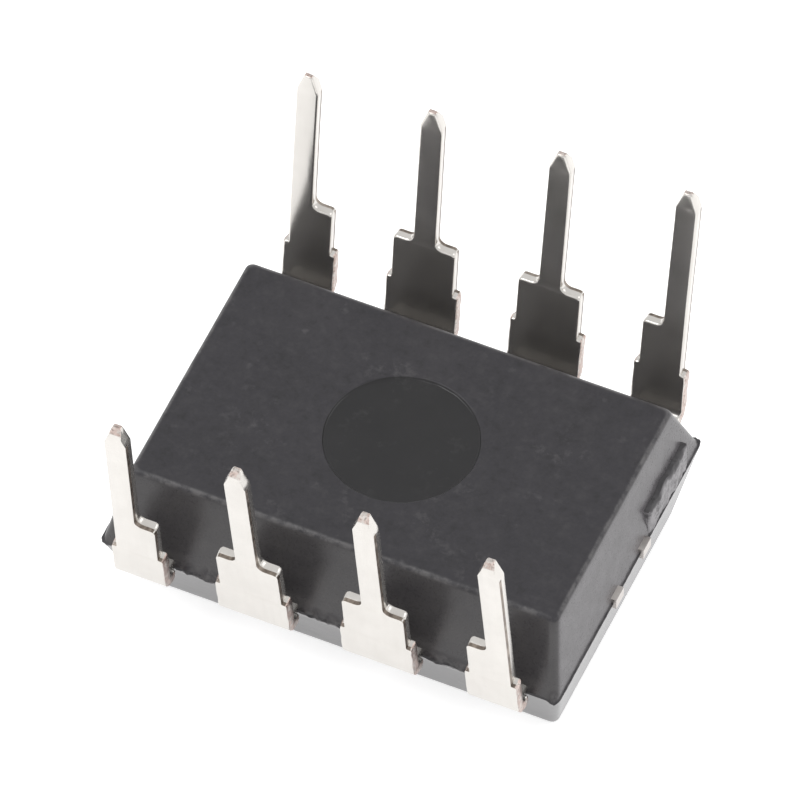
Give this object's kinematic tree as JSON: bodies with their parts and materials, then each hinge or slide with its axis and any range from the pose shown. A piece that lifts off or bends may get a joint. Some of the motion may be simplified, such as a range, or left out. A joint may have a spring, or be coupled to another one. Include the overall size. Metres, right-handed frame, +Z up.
{
  "type": "dual in-line integrated circuit package",
  "caption": "Plastic dual in-line chip package lying on its marked face, with two splayed rows of pointed tin-plated leads, a die on a pad and bond wires moulded inside.",
  "frame": {"origin": "middle of the marked flat face, which the package lies on", "axes": "+Z up out of the underside, along the leads; X along the package, with the lead 1 end at -X; Y across the two rows of leads"},
  "size_m": [0.0096, 0.0096, 0.0072],
  "materials": {
    "epoxy": "black moulded epoxy, fine matt texture",
    "tinned_lead": "matt tin plating, bare copper where the leads were cut",
    "bare_copper": "bare copper alloy",
    "adhesive": "silver-filled epoxy",
    "silicon": "polished silicon",
    "gold_wire": "drawn gold"
  },
  "bodies": {
    "root": {"body": "epoxy", "lead_1": "tinned_lead", "lead_2": "tinned_lead", "lead_3": "tinned_lead", "lead_4": "tinned_lead", "lead_5": "tinned_lead", "lead_6": "tinned_lead", "lead_7": "tinned_lead", "lead_8": "tinned_lead", "die_pad": "bare_copper", "die_attach": "adhesive", "die": "silicon", "wire_1": "gold_wire", "wire_2": "gold_wire", "wire_3": "gold_wire", "wire_4": "gold_wire", "wire_5": "gold_wire", "wire_6": "gold_wire", "wire_7": "gold_wire", "wire_8": "gold_wire"}
  },
  "joints": []
}
